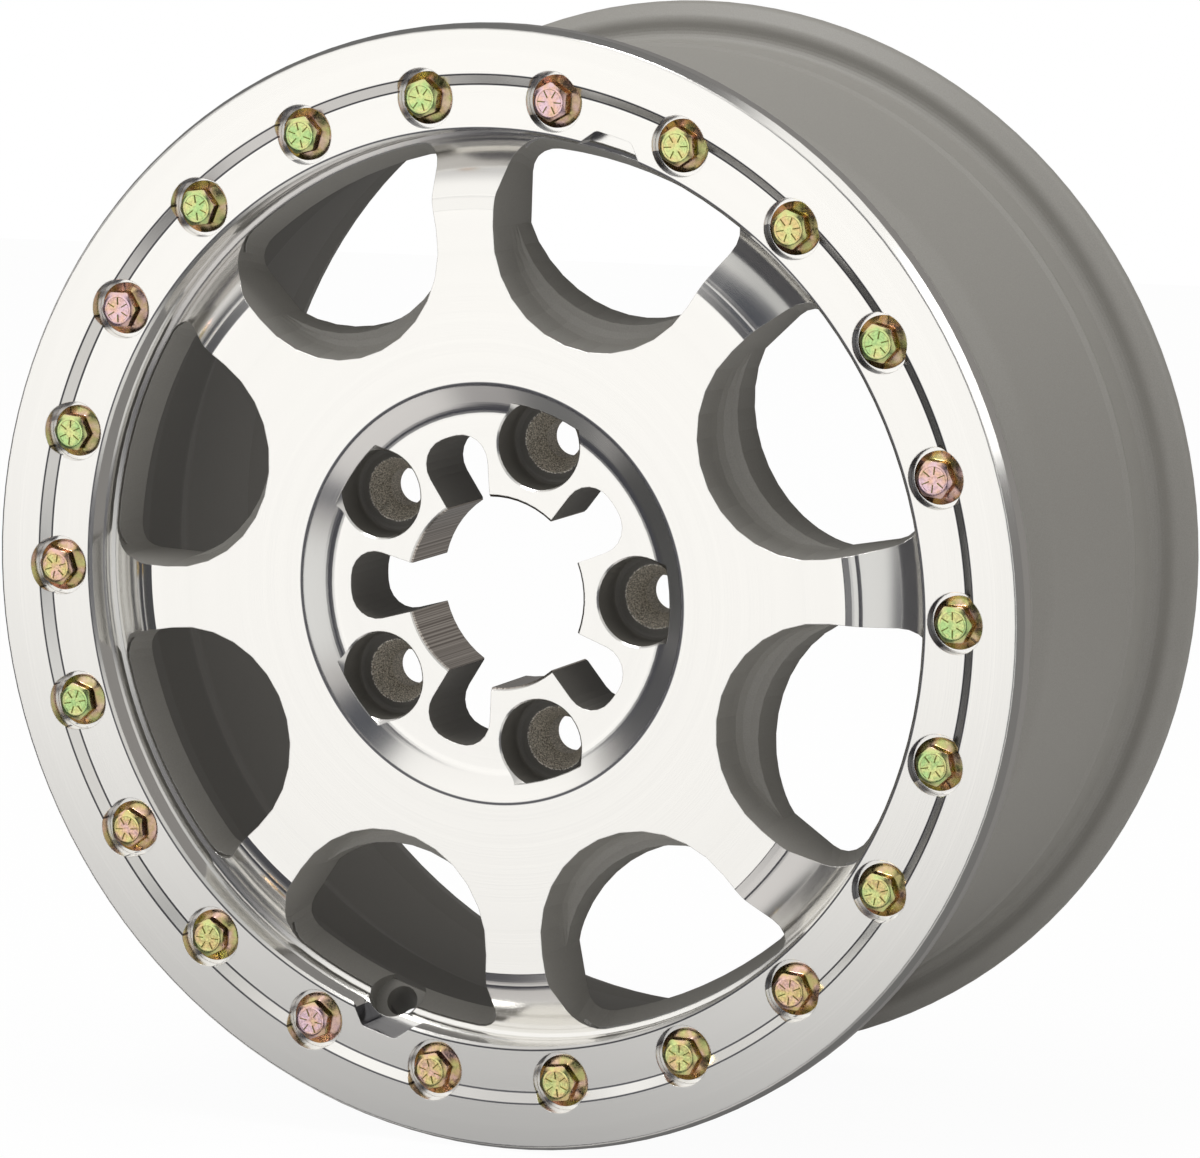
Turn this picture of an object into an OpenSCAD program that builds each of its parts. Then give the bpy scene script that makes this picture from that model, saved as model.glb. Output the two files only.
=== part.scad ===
// Beadlock wheel: one cast wheel, a clamp ring and the bolts that hold it.
// The shape is drawn about its axis, outboard side up, heights taken from
// the hub mounting face. It is then turned so that the axis lies along Y.

/* [Rim] */
// Height of the ring seat above the hub mounting face
seat_h = 21.7; // [20:0.1:24]
// Depth of the rim from the ring seat to its rear edge
rim_depth = 173; // [165:1:200]
// Radius of the two bead seats
bead_r = 189.5; // [188:0.1:192]
// Inner radius of the rim lip and of the clamp ring
lip_r = 166.9; // [166:0.1:168]
// Width of the front bead shelf
shelf_w = 14; // [12:0.5:16]
// How far the bead support stands out from the shelf
support_out = 7.5; // [5:0.5:10]
// Thickness of the bead support
support_t = 6; // [4:0.5:8]
// How far the shoulder behind the support lies inside the bead seat
shoulder_in = 7.5; // [6:0.5:9]
// Axial length of the shoulder's front slope
shoulder_w = 9.7; // [8:0.1:12]
// Distance from the bead support to the drop well
well_gap = 21.7; // [18:0.1:25]
// Radius of the drop well floor
well_r = 174; // [173:0.5:177]
// Width of the drop well floor
well_w = 17; // [10:1:25]
// Axial length of the slope behind the drop well
well_slope_w = 19.3; // [16:0.1:24]
// Radius of the barrel behind the drop well
mid_r = 182; // [180:0.5:184]
// Wall of the barrel behind the drop well
barrel_wall = 7; // [5:0.5:8]
// Width of the rear bead seat, from its hump to the flange
rear_seat_w = 19; // [16:1:22]
// Slope of the rear bead seat in degrees
seat_slope = 2.5; // [0:0.5:5]
// Rise of the safety hump over the rear bead seat
hump_out = 0.8; // [0.5:0.1:1.2]
// Wall of the rim under the rear bead seat
seat_wall = 4.5; // [4:0.5:6]
// Outer radius of the rear flange
flange_r = 204; // [200:0.5:208]
// Thickness of the rear flange
flange_t = 10.5; // [8:0.5:13]
// Radial width of the flat rear edge
flange_w = 16; // [12:0.5:18]
// Radius of the round on the flange's front
flange_round = 6; // [4:0.5:7]

/* [Hub] */
// Height of the hub pad above the mounting face
pad_h = 30; // [26:0.5:32]
// Radius of the centre bore
bore_r = 34.9; // [30:0.1:38]
// Radius of the mounting face
mount_r = 88; // [82:1:94]
// Height of the spokes' rear side above the mounting face
disc_back = 6.7; // [5:0.1:8]
// Radius at which the spokes' rear side becomes flat
disc_back_r = 129; // [120:1:135]
// Bolt circle of the lug holes
lug_pcd = 114.3; // [110:0.1:118]
// Number of lug holes
lugs = 5; // [4:1:5]
// Radius of the lug holes
lug_hole_r = 6.9; // [6:0.1:8]
// Radius of the conical lug seat at its rim
lug_seat_r = 11.4; // [10:0.1:12]
// Full angle of the conical lug seats
lug_seat_angle = 60; // [60:30:90]
// Height of the rim of the lug seat above the mounting face
lug_seat_h = 16; // [12:0.5:18]
// Radius of the well around each lug seat
lug_well_r = 15.8; // [14:0.1:16.5]
// Chamfer around each lug well
lug_well_chamfer = 0.6; // [0.3:0.1:1]
// Width of the bore slots at the bore
slot_throat = 19.2; // [14:0.1:22]
// Width of the bore slots near their outer end
slot_w = 30.7; // [26:0.1:33]
// Radius at which the bore slots end
slot_end_r = 58.7; // [54:0.1:61]
// Radius of the slots' outer corners
slot_corner = 10; // [6:0.5:12]

/* [Spokes] */
// Number of spokes
spokes = 8; // [8:1:8]
// Direction of the first spoke in degrees
spoke_turn = 3.8; // [0:0.1:45]
// Height of the spoke faces above the mounting face
face_h = 34.7; // [34:0.1:36]
// Radius at which the flat spoke faces end
face_r = 139.6; // [136:0.1:142]
// Spoke width at the end of its face
spoke_w = 24.4; // [22:0.1:30]
// Taper of each spoke side in degrees
spoke_taper = 6.3; // [5:0.1:8]
// Inner radius of the windows between the spokes
window_r = 96.6; // [93:0.1:100]
// Outer radius of the windows at the rim
window_out_r = 164.8; // [162:0.1:165.5]
// Corner radius at the outer end of a window
window_corner = 9.5; // [6:0.5:12]
// Height of the ridge behind the inner end of each window
ridge_h = 16.7; // [14:0.1:19]
// Radius of the hollow that runs into the ridge
ridge_hollow = 8; // [5:0.5:10]
// Radius of the rim of the dished centre
recess_r = 76.1; // [75:0.1:80]
// Slope of the dished centre's wall in degrees
recess_slope = 28; // [20:1:40]
// Fillet between that wall and the hub pad
recess_fillet = 10; // [5:1:14]
// Width of the bevel at the end of each spoke face
bevel_w = 4.5; // [3:0.1:6]
// Drop of that bevel
bevel_drop = 0.7; // [0.4:0.1:1.5]
// Slope of the dished spoke ends in degrees
dish_slope = 41.2; // [39:0.1:43]

/* [Clamp ring] */
// Outer radius of the ring
ring_r = 205.4; // [203:0.1:208]
// Thickness of the ring from its seat to its front face
ring_t = 12.8; // [11:0.1:14]
// Height of the step between the two front faces of the ring
ring_step = 3; // [2:0.1:4]
// Radius at which the step begins
step_r = 183.8; // [181:0.1:186]
// Width of the sloped step
step_w = 3.5; // [2:0.1:5]
// Radial width of the bevel around the ring
ring_bevel_w = 1.8; // [1:0.1:3]
// Height of that bevel
ring_bevel_h = 3.8; // [2:0.1:5]
// Gap between the plane of the seat and the rear of the ring's rim
overhang_h = 2.5; // [1:0.1:4]
// Width of the two notches at the ring's inner edge
notch_w = 25; // [20:0.5:30]
// Width of the notches at their floor
notch_floor_w = 14; // [10:0.5:18]
// Depth of the notches
notch_depth = 6.5; // [4:0.1:7.5]
// Radius of the notches' inner corners
notch_round = 2.5; // [1:0.5:4]

/* [Ring bolts] */
// Number of ring bolts
bolts = 22; // [22:2:24]
// Bolt circle of the ring bolts
bolt_pcd = 360; // [358:0.5:362]
// Diameter of the bolt shanks
bolt_d = 7.8; // [6.8:0.1:8]
// Length of a bolt below its head
bolt_l = 26; // [22:0.5:28]
// Width across the flats of the heads
hex_w = 12.7; // [11:0.1:13]
// Height of the heads with their flange
head_h = 7.2; // [6:0.1:8]
// Diameter of the flange under each head
head_flange_d = 19; // [17:0.1:20]
// Thickness of the flange at its rim
head_flange_t = 1; // [0.6:0.1:1.5]
// Height of the flange where it meets the hexagon
head_flange_h = 2.4; // [2:0.1:3]
// Chamfer of the heads' top edge
head_chamfer = 0.55; // [0.3:0.05:1]
// Diameter of the pockets that the heads sit in
pocket_d = 22; // [21:0.1:23]
// Thickness of the ring under the heads
pocket_floor_t = 6.8; // [6:0.1:8]

/* [Valve] */
// Direction of the valve hole in degrees
valve_turn = 252.3; // [250:0.1:254]
// Radius of the valve hole
valve_r = 5.75; // [5:0.05:6.5]
// Radius of the valve hole's countersunk seat
valve_seat_r = 10; // [8:0.1:11]
// Depth of that seat along the hole
valve_seat_depth = 5; // [4:0.5:7]
// Lean of the valve hole against the wheel's axis in degrees
valve_lean = 33; // [25:1:40]
// Height at which its axis crosses the wall outside the window
valve_h = 11.7; // [10:0.1:14]

/* [Hidden] */
$fn = 120;

paint = "#8d8a84";
bright = "#dcdad2";
zinc = "#c9a94e";

// Clearance of a bolt in the ring, and in its hole in the casting
ring_clear = 0.6;
hole_clear = 0.1;
// Spare depth of the blind holes below the bolt ends
hole_spare = 2.8;
// Overshoot of cuts through free faces
over = 2;
edge = 1;

// Rounds and fillets: broken edges, ribs, rim corners, slopes and the barrel's sweep
broken = 0.8;
rib_round = 2;
rim_round = 5;
slope_round = 8;
sweep_round = 20;

// Heights of the rim's section from front to rear
support_top = seat_h - shelf_w;
support_low = support_top - support_t;
well_top = support_low - well_gap;
well_low = well_top - well_w;
mid_h = well_low - well_slope_w;
rear_h = seat_h - rim_depth;
heel_h = rear_h + flange_t;
hump_h = heel_h + rear_seat_w;
// Axial length of each side of the safety hump
hump_w = 3;
// Fall of the rear bead seat from the flange to its hump
seat_fall = (rear_seat_w - hump_w) * tan(seat_slope);

// The rim's inside just behind the spokes, and how it narrows to the windows
inner_r = lip_r - 0.4;
inner_low = disc_back - 18.7;
inner_narrow = 4.5;

ring_top = seat_h + ring_t;
ring_low_top = ring_top - ring_step;
pocket_floor = seat_h + pocket_floor_t;
hole_end = pocket_floor - bolt_l - hole_spare;

// Place of the dish's foot, where its slope meets the rim lip
dish_start_r = face_r + bevel_w;
dish_start_h = face_h - bevel_drop;
dish_foot_h = dish_start_h - (lip_r - dish_start_r) * tan(dish_slope);

// Draft angles of a window: its flanks, its inner end, and its outer wall behind the floor
flank_draft = 3.7;
end_draft = 7;
out_draft = 23;
// Heights where the hollow in the inner end begins, and where the outer wall turns inwards
hollow_top = ridge_h + ridge_hollow;
window_floor = ridge_h;
// Flank lines of a window: angle to its middle line, and distance from the axis
flank_angle = 180 / spokes - spoke_taper;
flank_k = face_r * sin(spoke_taper) - spoke_w / 2 * cos(spoke_taper);
// Radius of the arc that joins both flanks at the inner end, and where it meets them
inner_arc = (flank_k + window_r * sin(flank_angle)) / (1 - sin(flank_angle));
flank_start_u = window_r + inner_arc * (1 - sin(flank_angle));

// Number of steps of each curved stretch of a window
inner_steps = 12;
corner_steps = 5;
outer_steps = 8;
hollow_steps = 4;

// Distance of a point of an outline from the next one
function reach(a, b) = norm([b[0] - a[0], b[1] - a[1]]);

// Points of the arc that rounds corner p, whose third value is the radius
function corner_arc(before, p, after) =
    let(
        u = [before[0] - p[0], before[1] - p[1]] / reach(p, before),
        w = [after[0] - p[0], after[1] - p[1]] / reach(p, after),
        half = acos(u * w) / 2,
        room = 0.95 * min(reach(p, before), reach(p, after)),
        radius = min(p[2], room * tan(half)),
        centre = [p[0], p[1]] + (u + w) / norm(u + w) * radius / sin(half),
        first = [p[0], p[1]] + u * radius / tan(half) - centre,
        last = [p[0], p[1]] + w * radius / tan(half) - centre,
        start = atan2(first[1], first[0]),
        swing = atan2(last[1], last[0]) - start,
        turn = swing > 180 ? swing - 360 : swing < -180 ? swing + 360 : swing,
        steps = radius < 3 ? 3 : 6
    )
    [for (i = [0 : steps]) centre + radius * [cos(start + turn * i / steps), sin(start + turn * i / steps)]];

// Outline through corners [x, y, radius], each rounded by its own radius
function rounded(corners) = [
    for (i = [0 : len(corners) - 1])
        let(
            n = len(corners),
            p = corners[i]
        )
        each p[2] == 0
            ? [[p[0], p[1]]]
            : corner_arc(corners[(i + n - 1) % n], p, corners[(i + 1) % n])
];

// Half-section of the cast wheel: front from the bore out, barrel, then back along its inside
function casting_section() = rounded([
    [bore_r, pad_h - edge, 0],
    [bore_r + edge, pad_h, 0],
    [recess_r - (face_h - pad_h) / tan(recess_slope), pad_h, recess_fillet],
    [recess_r, face_h, rib_round],
    [face_r, face_h, 0],
    [dish_start_r, dish_start_h, slope_round],
    [lip_r, dish_foot_h, rib_round],
    [lip_r, seat_h - edge, 0],
    [lip_r + edge, seat_h, 0],
    [bead_r, seat_h, broken],
    [bead_r, support_top, rib_round],
    [bead_r + support_out, support_top, rib_round],
    [bead_r + support_out, support_low, rib_round],
    [bead_r - shoulder_in, support_low - shoulder_w, rim_round],
    [well_r, well_top, rim_round],
    [well_r, well_low, slope_round],
    [mid_r, mid_h, sweep_round],
    [bead_r - seat_fall - edge / 2, hump_h + hump_w, 0],
    [bead_r - seat_fall + hump_out, hump_h, broken],
    [bead_r - seat_fall, hump_h - hump_w, broken],
    [bead_r, heel_h, rim_round],
    [flange_r - flange_round, heel_h, rim_round],
    [flange_r, heel_h - flange_round, rim_round],
    [flange_r, rear_h, broken],
    [flange_r - flange_w, rear_h, rib_round],
    [bead_r - seat_wall, heel_h, rim_round],
    [bead_r - seat_wall, hump_h, broken],
    [mid_r, hump_h + hump_w, broken],
    [mid_r - barrel_wall, mid_h, sweep_round],
    [inner_r, well_low, slope_round],
    [inner_r, inner_low, slope_round],
    [inner_r - inner_narrow, disc_back, slope_round],
    [disc_back_r, disc_back, slope_round],
    [mount_r, 0, broken],
    [bore_r + edge, 0, 0],
    [bore_r, edge, 0]
]);

// Radius of a window's inner end at height h: wall, hollow, then ridge
function inner_end(h) =
    let(
        wall = window_r + (face_h - max(h, hollow_top)) * tan(end_draft),
        sunk = min(max(hollow_top - h, 0), ridge_hollow),
        hollow = ridge_hollow - sqrt(ridge_hollow * ridge_hollow - sunk * sunk)
    )
    wall + hollow + max(ridge_h - h, 0) * tan(end_draft);

// Outline of a window at height h, along its middle line from the axis outwards
function window_outline(h) =
    let(
        k = flank_k - (face_h - h) * tan(flank_draft),
        side = (k + flank_start_u * sin(flank_angle)) / cos(flank_angle),
        inner = inner_end(h),
        span = flank_start_u - inner,
        r_in = (span * span + side * side) / (2 * span),
        half_in = asin(side / r_in),
        outer = window_out_r - max(window_floor - h, 0) * tan(out_draft),
        run = sqrt(pow(outer - window_corner, 2) - pow(k - window_corner, 2)),
        corner = (k - window_corner) * [-sin(flank_angle), cos(flank_angle)]
            + run * [cos(flank_angle), sin(flank_angle)],
        lean = atan2(corner[1], corner[0]),
        normal = 90 + flank_angle
    )
    concat(
        [for (i = [0 : inner_steps])
            let(t = half_in * (1 - 2 * i / inner_steps))
            [inner + r_in * (1 - cos(t)), r_in * sin(t), h]],
        [for (i = [0 : corner_steps])
            let(t = -normal + (normal - lean) * i / corner_steps)
            [corner[0] + window_corner * cos(t), -corner[1] + window_corner * sin(t), h]],
        [for (i = [1 : outer_steps - 1])
            let(t = lean * (2 * i / outer_steps - 1))
            [outer * cos(t), outer * sin(t), h]],
        [for (i = [0 : corner_steps])
            let(t = lean + (normal - lean) * i / corner_steps)
            [corner[0] + window_corner * cos(t), corner[1] + window_corner * sin(t), h]]
    );

// Solid lofted through outlines of equal length, listed from the top down
module loft(outlines) {
    n = len(outlines[0]);
    levels = len(outlines);
    walls = [
        for (i = [0 : levels - 2], j = [0 : n - 1])
            let(
                a = i * n + j,
                b = i * n + (j + 1) % n
            )
            each [[a, b, b + n], [a, b + n, a + n]]
    ];
    top = [[for (j = [n - 1 : -1 : 0]) j]];
    base = [[for (j = [0 : n - 1]) (levels - 1) * n + j]];
    polyhedron(points = [for (outline = outlines) each outline], faces = concat(walls, top, base));
}

// Opening between two spokes, from in front of their faces to behind them
module window_cut() {
    levels = concat(
        [face_h + over],
        [for (i = [0 : hollow_steps]) hollow_top - ridge_hollow * sin(90 * i / hollow_steps)],
        [-over]
    );
    loft([for (h = levels) window_outline(h)]);
}

// Slot that opens the hub beside the bore, with round corners at its outer end
module slot_cut() {
    slot_lap = 6;
    slot_flare = 2;
    slot_bulge = 1.2;
    start_u = bore_r - slot_lap;
    throat = slot_throat - 2 * slot_flare;
    end_u = sqrt(slot_end_r * slot_end_r - slot_w * slot_w / 4) + slot_bulge;
    translate([0, 0, -over])
        linear_extrude(pad_h + 2 * over)
            polygon(rounded([
                [start_u, throat / 2, 0],
                [start_u, -throat / 2, 0],
                [end_u, -slot_w / 2, slot_corner],
                [slot_end_r, 0, 3 * slot_corner],
                [end_u, slot_w / 2, slot_corner]
            ]));
}

// Lug hole with its conical seat and the well around it
module lug_cut() {
    seat_low = lug_seat_h - (lug_seat_r - lug_hole_r) / tan(lug_seat_angle / 2);
    well_top_r = lug_well_r + lug_well_chamfer / 2;
    chamfer_h = pad_h - lug_well_chamfer;
    rotate_extrude()
        polygon(rounded([
            [0, -over, 0],
            [lug_hole_r, -over, 0],
            [lug_hole_r, seat_low, 0],
            [lug_seat_r, lug_seat_h, 0],
            [lug_well_r, lug_seat_h, rib_round],
            [well_top_r, chamfer_h, 0],
            [well_top_r + over, chamfer_h + over, 0],
            [0, chamfer_h + over, 0]
        ]));
}

// Valve hole: it leans outwards towards the back and has a wider seat in front
module valve_cut() {
    front = valve_seat_r * tan(valve_lean) + over;
    wall = (bead_r - window_out_r) / sin(valve_lean);
    rotate([0, 0, valve_turn])
        translate([window_out_r, 0, valve_h])
            rotate([0, 180 - valve_lean, 0])
                translate([0, 0, -front]) {
                    cylinder(h = front + wall, r = valve_r);
                    cylinder(h = front + valve_seat_depth, r = valve_seat_r);
                }
}

module bolt_places() {
    for (i = [0 : bolts - 1])
        rotate([0, 0, i * 360 / bolts])
            translate([bolt_pcd / 2, 0, 0])
                children();
}

module wheel_casting() {
    color(paint)
        rotate([90, 0, 0])
            difference() {
                rotate_extrude()
                    polygon(casting_section());
                for (i = [0 : spokes - 1])
                    rotate([0, 0, spoke_turn + (i + 0.5) * 360 / spokes])
                        window_cut();
                for (i = [0 : lugs - 1]) {
                    rotate([0, 0, i * 360 / lugs])
                        translate([lug_pcd / 2, 0, 0])
                            lug_cut();
                    rotate([0, 0, (i + 0.5) * 360 / lugs])
                        slot_cut();
                }
                bolt_places()
                    translate([0, 0, hole_end])
                        cylinder(h = seat_h - hole_end + over, d = bolt_d + 2 * hole_clear);
                valve_cut();
            }
}

// Half-section of the clamp ring
function ring_section() = rounded([
    [lip_r, seat_h + edge, 0],
    [lip_r, ring_low_top - edge, 0],
    [lip_r + edge, ring_low_top, 0],
    [step_r, ring_low_top, broken],
    [step_r + step_w, ring_top, broken],
    [ring_r - ring_bevel_w, ring_top, broken],
    [ring_r, ring_top - ring_bevel_h, broken],
    [ring_r, seat_h + overhang_h, broken],
    [bead_r + overhang_h, seat_h + overhang_h, rib_round],
    [bead_r, seat_h, 0],
    [lip_r + edge, seat_h, 0]
]);

// Notch at the ring's inner edge
module notch_cut() {
    deep = lip_r + notch_depth;
    slope = (notch_w - notch_floor_w) / 2 / notch_depth;
    back = 2 * over;
    translate([0, 0, seat_h - over])
        linear_extrude(ring_t + 2 * over)
            polygon(rounded([
                [lip_r - back, -notch_w / 2 - slope * back, 0],
                [deep, -notch_floor_w / 2, notch_round],
                [deep, notch_floor_w / 2, notch_round],
                [lip_r - back, notch_w / 2 + slope * back, 0]
            ]));
}

module beadlock_ring() {
    // The first notch lies halfway between the fifth and the sixth bolt
    notch_turn = 4.5 * 360 / bolts;
    color(bright)
        rotate([90, 0, 0])
            difference() {
                rotate_extrude()
                    polygon(ring_section());
                bolt_places() {
                    translate([0, 0, pocket_floor])
                        cylinder(h = ring_t, d = pocket_d);
                    translate([0, 0, seat_h - over])
                        cylinder(h = ring_t, d = bolt_d + 2 * ring_clear);
                }
                for (turn = [notch_turn, notch_turn + 180])
                    rotate([0, 0, turn])
                        notch_cut();
            }
}

// Flange bolt with its seat at height 0
module ring_bolt() {
    shank = bolt_d / 2;
    rim = head_flange_d / 2;
    rim_edge = 0.3;
    flat = hex_w / 2;
    rotate_extrude()
        polygon([
            [0, -bolt_l],
            [shank - broken, -bolt_l],
            [shank, -bolt_l + broken],
            [shank, 0],
            [rim - rim_edge, 0],
            [rim, rim_edge],
            [rim, head_flange_t],
            [flat - rim_edge, head_flange_h],
            [0, head_flange_h]
        ]);
    intersection() {
        cylinder(h = head_h, d = hex_w / cos(30), $fn = 6);
        rotate_extrude()
            polygon([
                [0, 0],
                [hex_w, 0],
                [hex_w, head_h - (flat + head_chamfer) * tan(30)],
                [flat - head_chamfer, head_h],
                [0, head_h]
            ]);
    }
}

// Angle at which the hexagon of bolt i was left when it was tightened
function bolt_turn(i) = (i * 37) % 60;

module ring_bolts() {
    color(zinc)
        rotate([90, 0, 0])
            for (i = [0 : bolts - 1])
                rotate([0, 0, i * 360 / bolts])
                    translate([bolt_pcd / 2, 0, pocket_floor])
                        rotate([0, 0, bolt_turn(i)])
                            ring_bolt();
}

wheel_casting();
beadlock_ring();
ring_bolts();
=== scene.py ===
"""Looks of a cast beadlock wheel: the casting, its clamp ring and the bolts that hold the ring.

Lengths of the wheel's parts are in millimetres, as on a drawing, and those of the studio in metres.
Heights are measured from the hub mounting face towards the front of the wheel, and radii from the axis.
"""
import logging
import math
from dataclasses import dataclass, field
from enum import Enum

import bmesh
import bpy
from mathutils import Matrix, Vector


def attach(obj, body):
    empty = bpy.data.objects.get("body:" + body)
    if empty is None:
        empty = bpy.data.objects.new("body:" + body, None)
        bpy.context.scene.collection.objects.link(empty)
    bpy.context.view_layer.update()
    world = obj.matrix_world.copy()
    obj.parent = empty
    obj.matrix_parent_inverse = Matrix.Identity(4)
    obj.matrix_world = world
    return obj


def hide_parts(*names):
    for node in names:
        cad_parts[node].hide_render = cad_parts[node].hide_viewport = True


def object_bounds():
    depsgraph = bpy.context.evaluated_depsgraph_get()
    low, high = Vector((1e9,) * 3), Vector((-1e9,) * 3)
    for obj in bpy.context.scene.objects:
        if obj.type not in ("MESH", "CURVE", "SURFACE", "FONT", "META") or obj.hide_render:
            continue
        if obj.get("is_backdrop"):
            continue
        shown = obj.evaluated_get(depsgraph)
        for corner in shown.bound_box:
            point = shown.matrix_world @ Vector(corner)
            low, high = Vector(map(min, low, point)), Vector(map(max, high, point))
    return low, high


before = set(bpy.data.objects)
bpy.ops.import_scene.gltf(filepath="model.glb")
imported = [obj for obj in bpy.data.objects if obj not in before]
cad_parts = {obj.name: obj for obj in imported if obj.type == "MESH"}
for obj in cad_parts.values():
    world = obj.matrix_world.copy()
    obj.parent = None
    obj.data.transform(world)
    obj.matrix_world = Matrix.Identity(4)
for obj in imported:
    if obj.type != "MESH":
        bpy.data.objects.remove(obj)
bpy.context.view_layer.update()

MM = 0.001
HEX_STEP = 60.0
LOG = logging.getLogger("wheel")

Colour = tuple[float, float, float]
Place = tuple[float, float, float]
Socket = bpy.types.NodeSocket


class Op(Enum):
    """Names of the shader math operations that the node groups use."""

    ADD = "ADD"
    SUBTRACT = "SUBTRACT"
    MULTIPLY = "MULTIPLY"
    DIVIDE = "DIVIDE"
    MINIMUM = "MINIMUM"
    MAXIMUM = "MAXIMUM"
    SQRT = "SQRT"
    ABSOLUTE = "ABSOLUTE"
    GREATER = "GREATER_THAN"
    LESS = "LESS_THAN"
    ATAN2 = "ARCTAN2"
    COSINE = "COSINE"
    WRAP = "WRAP"


class Blend(Enum):
    """How one colour is laid over another."""

    COVER = "MIX"
    DARKEN = "MULTIPLY"


def opaque(colour: Colour, share: float = 1.0) -> tuple[float, float, float, float]:
    """Gives a colour its fourth number, for a socket.

    Args:
        colour: The colour.
        share: How much of its brightness is kept.

    Returns:
        The colour as a socket takes it.
    """
    red, green, blue = colour
    return red * share, green * share, blue * share, 1.0


class Graph:
    """A node tree with short calls for the nodes that the finishes need."""

    def __init__(self, tree: bpy.types.NodeTree) -> None:
        """Starts on an empty tree.

        Args:
            tree: The node tree of a material, a world or a group.
        """
        self.tree = tree
        tree.nodes.clear()

    def node(self, kind: str, **settings: object) -> bpy.types.Node:
        """Adds a node.

        Args:
            kind: The node's type name.
            settings: Attributes to set on it.

        Returns:
            The new node.
        """
        made = self.tree.nodes.new(kind)
        for name, value in settings.items():
            setattr(made, name, value)
        return made

    def link(self, source: object, target: Socket) -> None:
        """Feeds a socket from another socket, or sets it to a plain value.

        Args:
            source: An output socket, or a number or tuple.
            target: The input socket.
        """
        if isinstance(source, bpy.types.NodeSocket):
            self.tree.links.new(source, target)
        else:
            target.default_value = source

    def math(self, op: Op, *values: object) -> Socket:
        """Adds a math node.

        Args:
            op: The operation.
            values: Its inputs, sockets or numbers.

        Returns:
            The node's output socket.
        """
        made = self.node("ShaderNodeMath", operation=op.value)
        for value, socket in zip(values, made.inputs):
            self.link(value, socket)
        return made.outputs[0]

    def product(self, *values: object) -> Socket:
        """Multiplies values, such as masks that all have to hold.

        Args:
            values: Sockets or numbers, the first of them a socket.

        Returns:
            The product's socket.
        """
        total, *others = values
        for value in others:
            total = self.math(Op.MULTIPLY, total, value)
        return total

    def smooth(self, value: object, low: float, high: float, start: float = 0.0, end: float = 1.0) -> Socket:
        """Maps a value from one range to another with soft ends.

        Args:
            value: The socket to map.
            low: Input value that gives start.
            high: Input value that gives end.
            start: Output at low.
            end: Output at high.

        Returns:
            The mapped value's socket.
        """
        made = self.node("ShaderNodeMapRange", interpolation_type="SMOOTHSTEP")
        for item, socket in zip((value, low, high, start, end), made.inputs):
            self.link(item, socket)
        return made.outputs[0]

    def mix(self, factor: object, first: object, second: object, way: Blend = Blend.COVER) -> Socket:
        """Mixes two colours, at the mix node's colour sockets.

        Args:
            factor: How much of the second colour, from 0 to 1.
            first: The first colour, a socket or four numbers.
            second: The second colour.
            way: How the second is laid over the first.

        Returns:
            The mixed colour's socket.
        """
        made = self.node("ShaderNodeMix", data_type="RGBA", blend_type=way.value)
        self.link(factor, made.inputs[0])
        self.link(first, made.inputs[6])
        self.link(second, made.inputs[7])
        return made.outputs[2]

    def blend(self, factor: object, first: object, second: object) -> Socket:
        """Mixes two numbers, at the mix node's number sockets.

        Args:
            factor: How much of the second number, from 0 to 1.
            first: The first number, a socket or a value.
            second: The second number.

        Returns:
            The mixed number's socket.
        """
        made = self.node("ShaderNodeMix", data_type="FLOAT")
        self.link(factor, made.inputs[0])
        self.link(first, made.inputs[2])
        self.link(second, made.inputs[3])
        return made.outputs[0]

    def ramp(self, factor: object, stops: tuple[tuple[float, Colour], ...]) -> Socket:
        """Turns a value into a colour.

        Args:
            factor: The value, from 0 to 1.
            stops: Places on the ramp, each with its colour.

        Returns:
            The colour's socket.
        """
        made = self.node("ShaderNodeValToRGB")
        band = made.color_ramp
        while len(band.elements) < len(stops):
            band.elements.new(0.5)
        for element, (place, colour) in zip(band.elements, stops):
            element.position = place
            element.color = (*colour, 1.0)
        self.link(factor, made.inputs[0])
        return made.outputs[0]

    def noise(self, at: object, scale: object, detail: float, on_line: bool = False) -> Socket:
        """Adds a noise.

        Args:
            at: Where it is looked up: a place, or a number where it changes along a line only.
            scale: How many patches it has in one unit, a socket or a number.
            detail: How many finer layers it has.
            on_line: Whether it changes along a line only.

        Returns:
            The noise's socket, from 0 to 1.
        """
        made = self.node("ShaderNodeTexNoise", noise_dimensions="1D" if on_line else "3D")
        self.link(at, made.inputs["W" if on_line else "Vector"])
        self.link(scale, made.inputs["Scale"])
        made.inputs["Detail"].default_value = detail
        return made.outputs[0]

    def group(self, tree: bpy.types.NodeTree, **values: object) -> bpy.types.Node:
        """Places a node group.

        Args:
            tree: The group.
            values: Its inputs by name, sockets or numbers, with _ for a space.

        Returns:
            The group's node.
        """
        made = self.node("ShaderNodeGroup", node_tree=tree)
        for name, value in values.items():
            self.link(value, made.inputs[name.replace("_", " ")])
        return made


def new_group(
    name: str, inputs: dict[str, float], outputs: tuple[str, ...]
) -> tuple[Graph, bpy.types.Node, bpy.types.Node]:
    """Starts a shader node group whose sockets are all numbers.

    Args:
        name: The group's name.
        inputs: Its inputs with their first values.
        outputs: Its outputs.

    Returns:
        The group's graph, its input node and its output node.
    """
    tree = bpy.data.node_groups.new(name, "ShaderNodeTree")
    graph = Graph(tree)
    number = "NodeSocketFloat"
    for item, value in inputs.items():
        tree.interface.new_socket(item, in_out="INPUT", socket_type=number).default_value = value
    for item in outputs:
        tree.interface.new_socket(item, in_out="OUTPUT", socket_type=number)
    return graph, graph.node("NodeGroupInput"), graph.node("NodeGroupOutput")


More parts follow.
